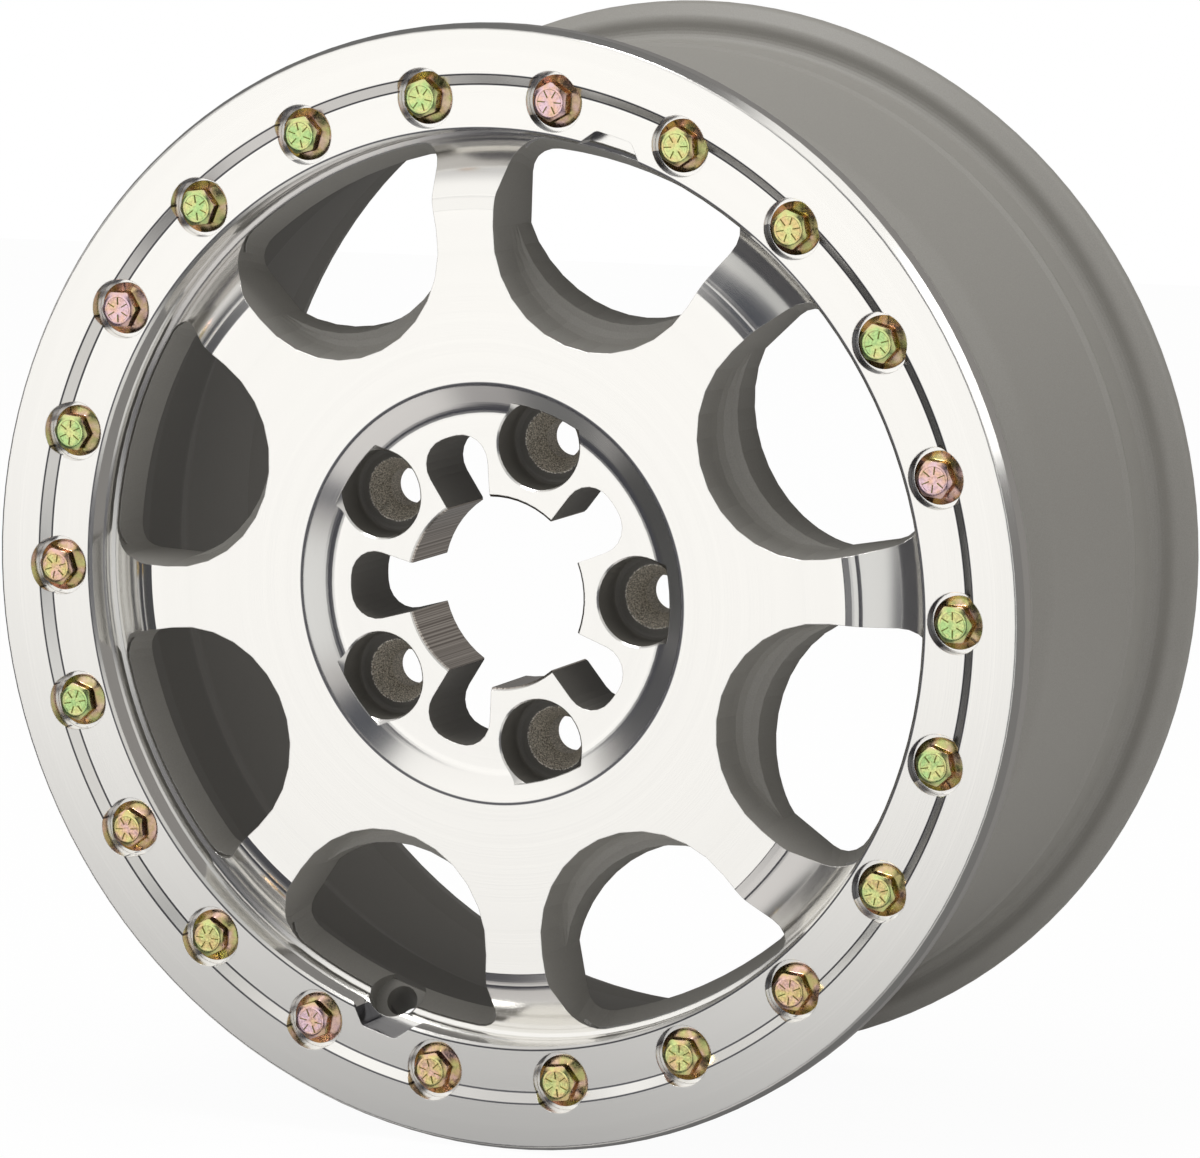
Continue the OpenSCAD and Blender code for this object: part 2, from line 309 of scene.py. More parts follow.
class Effects:
    """The node groups that more than one finish uses, each built once."""

    LINE_CORE = 0.2
    LINE_END = 0.6
    DRIFT_RINGS = 14.0

    def __init__(self) -> None:
        """Builds the groups."""
        self.place = self.build_place()
        self.lathe = self.build_lathe()
        self.grain = self.build_grain()

    def line(self, graph: Graph, value: Socket, place: float, width: float) -> Socket:
        """Masks a soft line where a value is near a place.

        Args:
            graph: The graph to add to.
            value: The value, such as a radius.
            place: Where the line lies.
            width: The line's width.

        Returns:
            The mask's socket, 1 on the line and 0 away from it.
        """
        off = graph.math(Op.ABSOLUTE, graph.math(Op.SUBTRACT, value, place))
        return graph.smooth(off, self.LINE_CORE * width, self.LINE_END * width, 1.0, 0.0)

    @staticmethod
    def build_place() -> bpy.types.NodeTree:
        """Group that gives a point's place on the wheel.

        Returns:
            The group, with Radius and Height in millimetres, Angle in radians, and Front and Outward, the
            shares of the surface's normal that point to the front and away from the axis.
        """
        graph, _, out = new_group("place_on_wheel", {}, ("Radius", "Height", "Angle", "Front", "Outward"))
        where = graph.node("ShaderNodeTexCoord")
        point = graph.node("ShaderNodeSeparateXYZ")
        graph.link(where.outputs["Object"], point.inputs[0])
        x, y, z = point.outputs
        radius = graph.math(Op.SQRT, graph.math(Op.ADD, graph.product(x, x), graph.product(z, z)))
        surface = graph.node("ShaderNodeNewGeometry")
        normal = graph.node("ShaderNodeSeparateXYZ")
        graph.link(surface.outputs["Normal"], normal.inputs[0])
        nx, ny, nz = normal.outputs
        along = graph.math(Op.ADD, graph.product(x, nx), graph.product(z, nz))
        graph.link(graph.math(Op.DIVIDE, radius, MM), out.inputs["Radius"])
        graph.link(graph.math(Op.DIVIDE, y, -MM), out.inputs["Height"])
        graph.link(graph.math(Op.ATAN2, z, x), out.inputs["Angle"])
        graph.link(graph.product(ny, -1.0), out.inputs["Front"])
        graph.link(graph.math(Op.DIVIDE, along, radius), out.inputs["Outward"])
        return graph.tree

    def build_lathe(self) -> bpy.types.NodeTree:
        """Group of the fine rings that a turning tool leaves.

        Returns:
            The group, with inputs Radius and Height and the Pitch of the rings, in millimetres, and outputs
            Lines and Drift, fine and slow changes from 0 to 1.
        """
        graph, given, out = new_group(
            "turning_lines", {"Radius": 0.0, "Height": 0.0, "Pitch": 0.4}, ("Lines", "Drift")
        )
        pitch = given.outputs["Pitch"]
        travel = graph.math(Op.ADD, given.outputs["Radius"], given.outputs["Height"])
        fine = graph.math(Op.DIVIDE, travel, pitch)
        slow = graph.math(Op.DIVIDE, travel, graph.product(pitch, self.DRIFT_RINGS))
        graph.link(graph.noise(fine, 1.0, 2.0, on_line=True), out.inputs["Lines"])
        graph.link(graph.noise(slow, 1.0, 3.0, on_line=True), out.inputs["Drift"])
        return graph.tree

    @staticmethod
    def build_grain() -> bpy.types.NodeTree:
        """Group of a fine grain, as in powder paint or plating.

        Returns:
            The group, with the Size of a grain in millimetres, and the output Grain, from 0 to 1.
        """
        graph, given, out = new_group("fine_grain", {"Size": 0.5}, ("Grain",))
        place = graph.node("ShaderNodeTexCoord").outputs["Object"]
        scale = graph.math(Op.DIVIDE, 1.0 / MM, given.outputs["Size"])
        graph.link(graph.noise(place, scale, 1.0), out.inputs["Grain"])
        return graph.tree


@dataclass(frozen=True)
class TurnedMetal:
    """Bright aluminium as a lathe leaves it."""

    colour: Colour = (0.92, 0.91, 0.885)
    drift: float = 0.96
    roughness: float = 0.17
    pitch: float = 0.5
    stretch: float = 0.35
    bump: float = 0.0008
    edge_round: float = 0.4

    def tone(self, graph: Graph, lathe: bpy.types.Node) -> Socket:
        """Gives the metal's colour, a little darker where its slow changes are low.

        Args:
            graph: The material's graph.
            lathe: The material's node of turning lines.

        Returns:
            The colour's socket.
        """
        return graph.mix(lathe.outputs["Drift"], opaque(self.colour, self.drift), opaque(self.colour))

    def shine(self, graph: Graph, lathe: bpy.types.Node, smoother: float, rougher: float) -> Socket:
        """Gives the metal's roughness, which follows the turning lines.

        Args:
            graph: The material's graph.
            lathe: The material's node of turning lines.
            smoother: How far it goes below the usual roughness.
            rougher: How far it goes above it.

        Returns:
            The roughness as a socket.
        """
        return graph.blend(lathe.outputs["Lines"], self.roughness - smoother, self.roughness + rougher)

    def finish(self, graph: Graph, colour: Socket, metallic: object, rough: Socket, height: Socket) -> None:
        """Ends a material with softened edges and highlights that stretch across the turning lines.

        Args:
            graph: The material's graph.
            colour: The colour.
            metallic: How far the surface is bare metal, a socket or a number.
            rough: The roughness.
            height: The height of the surface's fine relief, in millimetres.
        """
        shader = graph.node("ShaderNodeBsdfPrincipled")
        bump = graph.node("ShaderNodeBump")
        bump.inputs["Distance"].default_value = MM
        bump.inputs["Strength"].default_value = 1.0
        soft = graph.node("ShaderNodeBevel", samples=2)
        soft.inputs["Radius"].default_value = self.edge_round * MM
        graph.link(soft.outputs[0], bump.inputs["Normal"])
        graph.link(height, bump.inputs["Height"])
        tangent = graph.node("ShaderNodeTangent", direction_type="RADIAL", axis="Y")
        graph.link(tangent.outputs[0], shader.inputs["Tangent"])
        graph.link(colour, shader.inputs["Base Color"])
        graph.link(metallic, shader.inputs["Metallic"])
        graph.link(rough, shader.inputs["Roughness"])
        graph.link(bump.outputs[0], shader.inputs["Normal"])
        shader.inputs["Anisotropic"].default_value = self.stretch
        out = graph.node("ShaderNodeOutputMaterial")
        graph.link(shader.outputs[0], out.inputs[0])


@dataclass(frozen=True)
class CastPaint:
    """Matt warm grey paint on the raw casting, with painted shade in the hub's wells and deep inside the
    barrel.
    """

    colour: Colour = (0.295, 0.285, 0.263)
    change: float = 0.14
    roughness: float = 0.52
    grain: float = 0.45
    bump: float = 0.03
    # Colour of the painted shade that darkens the paint.
    shade: Colour = (0.25, 0.24, 0.22)

    def tone(self, graph: Graph, grain: Socket, shaded: Socket) -> Socket:
        """Gives the paint's colour, with the painted shade laid over it.

        Args:
            graph: The material's graph.
            grain: The grain, from 0 to 1.
            shaded: How far painted shade darkens the paint, from 0 to 1.

        Returns:
            The colour's socket.
        """
        paint = graph.mix(grain, opaque(self.colour, 1 - self.change), opaque(self.colour, 1 + self.change))
        # Painted shade: the paint is multiplied by a darker colour where the shade mask is high.
        shade = graph.mix(shaded, opaque((1, 1, 1)), opaque(self.shade))
        return graph.mix(1.0, paint, shade, Blend.DARKEN)


class Tint(Enum):
    """Tints of yellow chromate, as places on its shimmer from green to pink."""

    GREEN = 0.14
    YELLOW = 0.36
    ORANGE = 0.6
    PINK = 0.88


@dataclass(frozen=True)
class YellowZinc:
    """Yellow chromate over zinc, which shimmers from green to pink."""

    roughness: float = 0.2
    smoother: float = 0.05
    rougher: float = 0.1
    grain: float = 0.8
    grain_range: tuple[float, float] = (0.3, 0.7)
    patch: float = 5.0
    crown_patches: tuple[float, float] = (0.25, 0.75)
    side_patches: tuple[float, float] = (0.32, 0.68)
    crown_facing: tuple[float, float] = (0.75, 0.97)
    change: float = 0.5
    shimmer: tuple[tuple[float, Colour], ...] = (
        (0.0, (0.50, 0.72, 0.30)),
        (0.30, (0.74, 0.78, 0.33)),
        (0.52, (0.80, 0.62, 0.28)),
        (0.74, (0.86, 0.55, 0.45)),
        (1.0, (0.83, 0.60, 0.68)),
    )
    sides: tuple[tuple[float, Colour], ...] = (
        (0.0, (0.60, 0.56, 0.22)),
        (0.5, (0.72, 0.50, 0.28)),
        (1.0, (0.88, 0.60, 0.52)),
    )


@dataclass(frozen=True)
class LugSeats:
    """Bare grey-brown metal of the lug seats, with painted glints along each seat's rim."""

    lugs: int = 5
    circle: float = 57.15
    radius: float = 11.6
    height: float = 16.2
    metal: float = 0.5
    dark: Colour = (0.24, 0.22, 0.18)
    light: Colour = (0.86, 0.80, 0.70)
    speckle: tuple[float, float] = (0.34, 0.66)
    # Colour of the painted glints on the seats' rims.
    painted_glint: Colour = (0.95, 0.90, 0.80)
    sparkle_width: float = 0.7
    sparkle_grain: float = 0.55

    def distance(self, graph: Graph, radius: Socket, angle: Socket) -> Socket:
        """Gives the distance to the axis of the nearest lug hole.

        Args:
            graph: The material's graph.
            radius: A point's radius.
            angle: Its angle.

        Returns:
            The distance's socket.
        """
        step = math.tau / self.lugs
        off = graph.math(Op.WRAP, angle, step / 2, -step / 2)
        reach = graph.product(radius, 2 * self.circle, graph.math(Op.COSINE, off))
        squares = graph.math(Op.ADD, graph.product(radius, radius), self.circle**2)
        return graph.math(Op.SQRT, graph.math(Op.SUBTRACT, squares, reach))

    def lay(
        self, graph: Graph, line: Socket, seat: Socket, low: Socket, grain: Socket, colour: Socket
    ) -> Socket:
        """Lays the seats' own colours over the casting's, with painted glints on their rims.

        Args:
            graph: The material's graph.
            line: The mask of the seats' rims.
            seat: The mask of the seats.
            low: The mask of all that is as deep as the seats.
            grain: The grain, from 0 to 1.
            colour: The casting's colour.

        Returns:
            The colour with the seats in it.
        """
        bare = graph.mix(graph.smooth(grain, *self.speckle), opaque(self.dark), opaque(self.light))
        colour = graph.mix(seat, colour, bare)
        # Painted highlight: bright glints where the grain is high along each seat's rim.
        painted_glint = graph.product(line, graph.math(Op.GREATER, grain, self.sparkle_grain), low)
        return graph.mix(painted_glint, colour, opaque(self.painted_glint))


@dataclass(frozen=True)
class HubBore:
    """The bore's bare wall, with streaks that run from front to back."""

    radius: float = 35.4
    streaks: float = 45.0
    streak_range: tuple[float, float] = (0.3, 0.7)
    dark: Colour = (0.34, 0.30, 0.27)
    light: Colour = (0.84, 0.78, 0.72)

    def tone(self, graph: Graph, angle: Socket) -> Socket:
        """Gives the wall's colour.

        Args:
            graph: The material's graph.
            angle: A point's angle.

        Returns:
            The colour's socket.
        """
        # Dark and light streaks mixed at random along the angle.
        streak_share = graph.smooth(graph.noise(angle, self.streaks, 3.0, on_line=True), *self.streak_range)
        return graph.mix(streak_share, opaque(self.dark), opaque(self.light))


@dataclass(frozen=True)
class SpokeEnd:
    """Fine relief of the dished spoke ends and their bevel, which turns what they reflect."""

    start: float = 144.0
    middle: float = 158.0
    stop: float = 158.5
    bend: float = 0.027
    bevel_lean: float = 0.16

    def height(self, graph: Graph, radius: Socket) -> Socket:
        """Gives the relief across the dish and the bevel.

        Args:
            graph: The material's graph.
            radius: A point's radius.

        Returns:
            The relief's height in millimetres.
        """
        on_dish = graph.math(Op.MINIMUM, graph.math(Op.MAXIMUM, radius, self.start), self.stop)
        off = graph.math(Op.SUBTRACT, on_dish, self.middle)
        hollow = graph.product(off, off, -self.bend / 2)
        before = graph.math(Op.SUBTRACT, self.start, graph.math(Op.MINIMUM, radius, self.start))
        return graph.math(Op.ADD, hollow, graph.product(before, self.bevel_lean))


@dataclass(frozen=True)
class CastingFinish:
    """The casting's finishes: turned in front, bare in the lug seats and painted elsewhere."""

    metal: TurnedMetal = TurnedMetal()
    paint: CastPaint = CastPaint()
    seats: LugSeats = LugSeats()
    bore: HubBore = HubBore()
    dish: SpokeEnd = SpokeEnd()
    smoother: float = 0.02
    rougher: float = 0.03
    front_facing: float = 0.3
    face_height: float = 34.0
    pad_height: float = 29.3
    recess_radius: float = 77.5
    recess_edge: float = 76.6
    edge_width: float = 1.2
    # Colour of the painted dark reflection along the hub recess's edge.
    reflection_line_colour: Colour = (0.10, 0.10, 0.11)
    spoke_end_radius: float = 139.3
    foot_height: float = 15.4
    lip_radius: float = 165.9
    # Strengths of the painted shade in the hub's wells and on the barrel's inside.
    hub_shade: float = 0.72
    inside_facing: float = -0.3
    inside_height: float = 4.0
    inside_shade: float = 0.9

    def shaded(self, graph: Graph, radius: Socket, height: Socket, outward: Socket) -> Socket:
        """Masks the paint that lies in shade: in the hub's wells and on the barrel's inside.

        Args:
            graph: The material's graph.
            radius: A point's radius.
            height: Its height.
            outward: How far its surface points away from the axis.

        Returns:
            How dark the shade is, from 0 to 1.
        """
        inward = graph.math(Op.LESS, outward, self.inside_facing)
        inside = graph.product(inward, graph.math(Op.LESS, height, self.inside_height))
        hub = graph.math(Op.LESS, radius, self.recess_radius)
        shade = graph.math(Op.MAXIMUM, hub, graph.product(inside, self.inside_shade))
        return graph.product(shade, self.hub_shade)

    def material(self, effects: Effects) -> bpy.types.Material:
        """Makes the material.

        Args:
            effects: The shared node groups.

        Returns:
            The new material.
        """
        made = bpy.data.materials.new("casting")
        made.use_nodes = True
        graph = Graph(made.node_tree)
        radius, height, angle, front, outward = graph.group(effects.place).outputs
        lathe = graph.group(effects.lathe, Radius=radius, Height=height, Pitch=self.metal.pitch)
        grain = graph.group(effects.grain, Size=self.paint.grain).outputs["Grain"]

        facing = graph.math(Op.GREATER, front, self.front_facing)
        above_foot = graph.math(Op.GREATER, height, self.foot_height)
        in_recess = graph.math(Op.LESS, radius, self.recess_radius)
        bore = graph.math(Op.LESS, radius, self.bore.radius)
        spoke_end = graph.product(graph.math(Op.GREATER, radius, self.spoke_end_radius), above_foot, facing)
        turned = graph.product(graph.math(Op.GREATER, height, self.face_height), facing)
        for zone in (
            graph.product(graph.math(Op.GREATER, height, self.pad_height), in_recess, facing),
            spoke_end,
            graph.product(graph.math(Op.GREATER, radius, self.lip_radius), above_foot),
            bore,
        ):
            turned = graph.math(Op.MAXIMUM, turned, zone)
        to_lug = self.seats.distance(graph, radius, angle)
        low = graph.math(Op.LESS, height, self.seats.height)
        seat = graph.product(graph.math(Op.LESS, to_lug, self.seats.radius), low)

        metal = graph.mix(bore, self.metal.tone(graph, lathe), self.bore.tone(graph, angle))
        # The paint carries painted shade in the hub's wells and on the barrel's inside.
        paint = self.paint.tone(graph, grain, self.shaded(graph, radius, height, outward))
        # Line along each seat's rim where the painted glints go.
        at_seat = effects.line(graph, to_lug, self.seats.radius, self.seats.sparkle_width)
        colour = self.seats.lay(graph, at_seat, seat, low, grain, graph.mix(turned, paint, metal))
        # Painted dark reflection: a thin dark line along the hub recess's edge, on front-facing surfaces.
        rim = graph.product(effects.line(graph, radius, self.recess_edge, self.edge_width), facing)
        colour = graph.mix(rim, colour, opaque(self.reflection_line_colour))

        metallic = graph.math(Op.MAXIMUM, turned, graph.product(seat, self.seats.metal))
        shine = self.metal.shine(graph, lathe, self.smoother, self.rougher)
        rough = graph.blend(turned, self.paint.roughness, shine)
        grains = graph.product(grain, self.paint.bump)
        lines = graph.product(lathe.outputs["Lines"], self.metal.bump)
        dish = graph.product(spoke_end, self.dish.height(graph, radius))
        relief = graph.math(Op.ADD, graph.blend(turned, grains, lines), dish)
        self.metal.finish(graph, colour, metallic, rough, relief)
        return made


@dataclass(frozen=True)
class RingFinish:
    """The clamp ring's finish: turned all over, with painted dark reflections as thin lines at its edges.

    The walls of its notches, and the pockets' walls on that same band of radius, are dark with painted
    shade.
    """

    metal: TurnedMetal = TurnedMetal()
    smoother: float = 0.03
    rougher: float = 0.03
    # Radii of the ring's edges where thin lines of painted dark reflection lie.
    edges: tuple[float, ...] = (168.1, 183.7, 187.4)
    edge_width: float = 0.8
    front_height: float = 30.0
    lean: float = 0.03
    notch_in: float = 168.4
    notch_out: float = 173.8
    notch_facing: float = 0.5
    # Dark colour of the painted reflections at the edges and of the painted shade on the notch walls.
    dark: Colour = (0.10, 0.10, 0.11)

    def material(self, effects: Effects) -> bpy.types.Material:
        """Makes the material.

        Args:
            effects: The shared node groups.

        Returns:
            The new material.
        """
        made = bpy.data.materials.new("clamp_ring")
        made.use_nodes = True
        graph = Graph(made.node_tree)
        radius, height, _, facing, _ = graph.group(effects.place).outputs
        lathe = graph.group(effects.lathe, Radius=radius, Height=height, Pitch=self.metal.pitch)
        colour = self.metal.tone(graph, lathe)
        front = graph.math(Op.GREATER, height, self.front_height)
        # Painted dark reflections: thin dark lines along the ring's front edges.
        for edge in self.edges:
            mask = graph.product(effects.line(graph, radius, edge, self.edge_width), front)
            colour = graph.mix(mask, colour, opaque(self.dark))
        # Painted shade: the notch walls, and the pockets' walls on the same band of radius, are coloured
        # dark.
        notch_shade_mask = graph.product(
            graph.math(Op.LESS, facing, self.notch_facing),
            graph.math(Op.GREATER, radius, self.notch_in),
            graph.math(Op.LESS, radius, self.notch_out),
        )
        colour = graph.mix(notch_shade_mask, colour, opaque(self.dark))
        rough = self.metal.shine(graph, lathe, self.smoother, self.rougher)
        lines = graph.product(lathe.outputs["Lines"], self.metal.bump)
        relief = graph.math(Op.ADD, lines, graph.product(radius, -self.lean))
        self.metal.finish(graph, colour, 1.0, rough, relief)
        return made


@dataclass(frozen=True)
class BoltFinish:
    """The bolts' finish: yellow zinc whose tint changes from bolt to bolt and over each head."""

    zinc: YellowZinc = YellowZinc()
    mark_height: float = 35.58
    mark_colour: Colour = (0.16, 0.17, 0.05)

    def material(self, effects: Effects, own: Tint) -> bpy.types.Material:
        """Makes the material.

        Args:
            effects: The shared node groups.
            own: The tint that the bolt has most of.

        Returns:
            The new material.
        """
        made = bpy.data.materials.new(f"zinc_{own.name.lower()}")
        made.use_nodes = True
        graph = Graph(made.node_tree)
        place = graph.group(effects.place)
        grain = graph.group(effects.grain, Size=self.zinc.grain).outputs["Grain"]
        where = graph.node("ShaderNodeTexCoord").outputs["Object"]
        patches = graph.noise(where, 1.0 / (self.zinc.patch * MM), 2.0)
        low, high = own.value - self.zinc.change / 2, own.value + self.zinc.change / 2
        crown = graph.ramp(graph.smooth(patches, *self.zinc.crown_patches, low, high), self.zinc.shimmer)
        side = graph.ramp(graph.smooth(patches, *self.zinc.side_patches), self.zinc.sides)
        on_crown = graph.smooth(place.outputs["Front"], *self.zinc.crown_facing)
        colour = graph.mix(on_crown, side, crown)
        mark = graph.math(Op.GREATER, place.outputs["Height"], self.mark_height)
        colour = graph.mix(mark, colour, opaque(self.mark_colour))
        shader = graph.node("ShaderNodeBsdfPrincipled")
        graph.link(colour, shader.inputs["Base Color"])
        low, high = self.zinc.roughness - self.zinc.smoother, self.zinc.roughness + self.zinc.rougher
        rough = graph.smooth(grain, *self.zinc.grain_range, low, high)
        graph.link(rough, shader.inputs["Roughness"])
        shader.inputs["Metallic"].default_value = 1.0
        out = graph.node("ShaderNodeOutputMaterial")
        graph.link(shader.outputs[0], out.inputs[0])
        return made


@dataclass
class RingBolts:
    """The hex flange bolts that clamp the ring, as separate detailed pieces."""

    finish: BoltFinish = field(default_factory=BoltFinish)
    count: int = 22
    circle_radius: float = 180.0
    seat_height: float = 28.5
    flange_radius: float = 9.5
    flange_edge: float = 1.0
    flange_round: float = 0.25
    flange_roll: float = 0.2
    head_foot: float = 2.3
    foot_curve: tuple[tuple[float, float], ...] = ((0.35, -0.25), (0.0, 0.15))
    head_height: float = 7.02
    across_flats: float = 12.7
    corner_round: float = 0.22
    chamfer: float = 30.0
    chamfer_low: float = 0.15
    chamfer_top: float = 0.03
    chamfer_share: float = 0.985
    crown_radius: float = 5.6
    crown_rim: tuple[tuple[float, float], ...] = ((0.0, 0.06), (0.25, 0.0), (0.9, 0.0), (1.1, 0.12))
    crown_centre: float = 0.4
    crown_dip: float = 0.16
    shank_radius: float = 3.9
    shank_sides: int = 24
    thread_depth: float = 0.6
    thread_pitch: float = 1.25
    thread_steps: int = 4
    tip_length: float = 1.2
    tip_slope: float = 0.6
    length: float = 26.0
    marks: int = 6
    mark_turn: float = 30.0
    mark_inner: float = 1.7
    mark_outer: float = 4.6
    mark_width: float = 0.55
    mark_root: float = 0.3
    mark_rise: float = 0.34
    mark_slope: float = 0.12
    sides: int = 72
    turn_step: int = 37
    crease: float = 28.0
    pink: tuple[int, ...] = (1, 5, 9, 15)
    orange: tuple[int, ...] = (11, 13, 16, 19)
    yellow: tuple[int, ...] = (3, 4, 14, 17, 18, 20)

    def tint(self, index: int) -> Tint:
        """The tint that a bolt has most of; those in none of the lists are green.

        Args:
            index: The bolt's number, counted from the wheel's +X side.

        Returns:
            The tint.
        """
        lists = {Tint.PINK: self.pink, Tint.ORANGE: self.orange, Tint.YELLOW: self.yellow}
        return next((tint for tint, members in lists.items() if index in members), Tint.GREEN)

    def head_radius(self, turn: float) -> float:
        """Distance from the bolt's axis to the hexagon in one direction, with slightly rounded corners.

        Args:
            turn: The direction, in radians.

        Returns:
            The distance.
        """
        off = (math.degrees(turn) % HEX_STEP) - HEX_STEP / 2
        flat = self.across_flats / 2 / math.cos(math.radians(off))
        corner = self.across_flats / 2 / math.cos(math.radians(HEX_STEP / 2))
        return min(flat, corner - self.corner_round)

    def angles(self) -> list[float]:
        """Directions of the points in each ring of the head."""
        return [math.tau * i / self.sides for i in range(self.sides)]

    def round_ring(self, radius: float, height: float) -> list[Vector]:
        """A level round ring of points.

        Args:
            radius: The ring's radius.
            height: Its height.

        Returns:
            The points.
        """
        return [Vector((radius * math.cos(a), radius * math.sin(a), height)) for a in self.angles()]

    def rings(self) -> list[list[Vector]]:
        """Rings of points of the head, from the underside of the flange up to the crown.

        Returns:
            One list of points for each ring, in the bolt's own frame with its axis along Z.
        """
        rows = [
            self.round_ring(self.shank_radius, 0.0),
            self.round_ring(self.flange_radius - self.flange_round, 0.0),
            self.round_ring(self.flange_radius, self.flange_round),
            self.round_ring(self.flange_radius, self.flange_edge - self.flange_roll),
            self.round_ring(self.flange_radius - self.flange_round, self.flange_edge),
        ]
        for wider, higher in self.foot_curve:
            height = self.head_foot + higher
            reaches = [(a, self.head_radius(a) + wider) for a in self.angles()]
            rows.append([Vector((r * math.cos(a), r * math.sin(a), height)) for a, r in reaches])
        slope = math.tan(math.radians(self.chamfer))
        shoulder = []
        for a in self.angles():
            reach = self.head_radius(a)
            height = self.head_height - (reach - self.crown_radius) * slope
            shoulder.append(Vector((reach * math.cos(a), reach * math.sin(a), height)))
        share = self.chamfer_share
        rows.append([p - Vector((0, 0, self.chamfer_low)) for p in shoulder])
        rows.append([Vector((p.x * share, p.y * share, p.z + self.chamfer_top)) for p in shoulder])
        for inset, drop in self.crown_rim:
            rows.append(self.round_ring(self.crown_radius - inset, self.head_height - drop))
        rows.append(self.round_ring(self.crown_centre, self.head_height - self.crown_dip))
        return rows

    def add_rings(self, mesh: bmesh.types.BMesh, rows: list[list[Vector]]) -> None:
        """Skins rings of points and closes the first and the last.

        Args:
            mesh: The mesh to add to.
            rows: Rings of equal length.
        """
        made = [[mesh.verts.new(p) for p in row] for row in rows]
        count = len(rows[0])
        for low, high in zip(made, made[1:]):
            for i in range(count):
                j = (i + 1) % count
                mesh.faces.new((low[i], low[j], high[j], high[i]))
        mesh.faces.new(list(reversed(made[0])))
        mesh.faces.new(made[-1])

    def mark_ring(self, spin: Matrix, inset: float, height: float) -> list[Vector]:
        """Corners of a grade line at one height.

        Args:
            spin: The line's direction.
            inset: How far the corners lie inside the line's foot.
            height: Their height.

        Returns:
            The four corners.
        """
        near, far = self.mark_inner + inset, self.mark_outer - inset
        side = self.mark_width / 2 - inset
        corners = ((near, -side), (far, -side), (far, side), (near, side))
        return [spin @ Vector((x, y, height)) for x, y in corners]

    def add_mark(self, mesh: bmesh.types.BMesh, turn: float) -> None:
        """Adds one raised radial grade line on the crown.

        Args:
            mesh: The mesh to add to.
            turn: The line's direction.
        """
        spin = Matrix.Rotation(turn, 4, "Z")
        top = self.head_height - self.crown_dip + self.mark_rise
        foot = self.mark_ring(spin, 0.0, self.head_height - self.mark_root)
        self.add_rings(mesh, [foot, self.mark_ring(spin, self.mark_slope, top)])

    def add_shank(self, mesh: bmesh.types.BMesh) -> None:
        """Adds the threaded shank below the head.

        Args:
            mesh: The mesh to add to.
        """
        steps = int(self.length / self.thread_pitch * self.thread_steps)
        rows = []
        for step in range(steps + 1):
            base = -self.length + self.length * step / steps
            row = []
            for i in range(self.shank_sides):
                phase = (base / self.thread_pitch - i / self.shank_sides) % 1.0
                depth = self.thread_depth * (1 - abs(2 * phase - 1))
                tip = max(0.0, self.tip_length - (base + self.length)) * self.tip_slope
                reach = self.shank_radius - max(depth, tip)
                turn = math.tau * i / self.shank_sides
                row.append(Vector((reach * math.cos(turn), reach * math.sin(turn), base)))
            rows.append(row)
        self.add_rings(mesh, rows)

    def build(self, index: int) -> bpy.types.Object:
        """Builds one bolt in its place on the ring.

        Args:
            index: The bolt's number, counted from the wheel's +X side.

        Returns:
            The bolt.
        """
        mesh = bmesh.new()
        self.add_rings(mesh, self.rings())
        for mark in range(self.marks):
            self.add_mark(mesh, math.radians(self.mark_turn) + mark * math.tau / self.marks)
        self.add_shank(mesh)
        bmesh.ops.recalc_face_normals(mesh, faces=mesh.faces)
        turn = math.tau * index / self.count
        own = math.radians((index * self.turn_step) % HEX_STEP)
        place = (
            Matrix.Rotation(math.radians(90), 4, "X")
            @ Matrix.Rotation(turn, 4, "Z")
            @ Matrix.Translation((self.circle_radius, 0, self.seat_height))
            @ Matrix.Rotation(own, 4, "Z")
        )
        mesh.transform(Matrix.Scale(MM, 4) @ place)
        data = bpy.data.meshes.new(f"ring_bolt_{index:02d}")
        mesh.to_mesh(data)
        mesh.free()
        for face in data.polygons:
            face.use_smooth = True
        data.set_sharp_from_angle(angle=math.radians(self.crease))
        made = bpy.data.objects.new(f"ring_bolt_{index:02d}", data)
        bpy.context.scene.collection.objects.link(made)
        return made

    def dress(self, effects: Effects) -> list[bpy.types.Object]:
        """Builds all the bolts, gives them their finish and fixes them to the wheel.

        Args:
            effects: The shared node groups.

        Returns:
            The bolts.
        """
        finishes = {tint: self.finish.material(effects, tint) for tint in Tint}
        made = []
        for index in range(self.count):
            bolt = self.build(index)
            bolt.data.materials.append(finishes[self.tint(index)])
            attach(bolt, "root")
            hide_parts("ring_bolts")
            made.append(bolt)
        LOG.info("ring_bolts: %d pieces", len(made))
        return made


@dataclass
class TurnedPieces:
    """The two pieces that keep their shape from the frame: the cast wheel and its clamp ring."""

    wheel: CastingFinish = field(default_factory=CastingFinish)
    ring: RingFinish = field(default_factory=RingFinish)

    def dress(self, effects: Effects) -> None:
        """Gives both their finish.

        Args:
            effects: The shared node groups.
        """
        for node, finish in (("wheel_casting", self.wheel), ("beadlock_ring", self.ring)):
            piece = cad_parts[node]
            piece.data.materials.clear()
            piece.data.materials.append(finish.material(effects))
            LOG.info("%s: %d faces", node, len(piece.data.polygons))


@dataclass(frozen=True)
class Card:
    """A round pale or dark card of the studio, seen only by light and reflections."""

    direction: Place
    half_angle: float
    soft_edge: float
    colour: Colour


@dataclass(frozen=True)
class Lamp:
    """A soft square lamp that points at the wheel: where it hangs, its width and its power in watts."""

    name: str
    place: Place
    size: float
    power: float


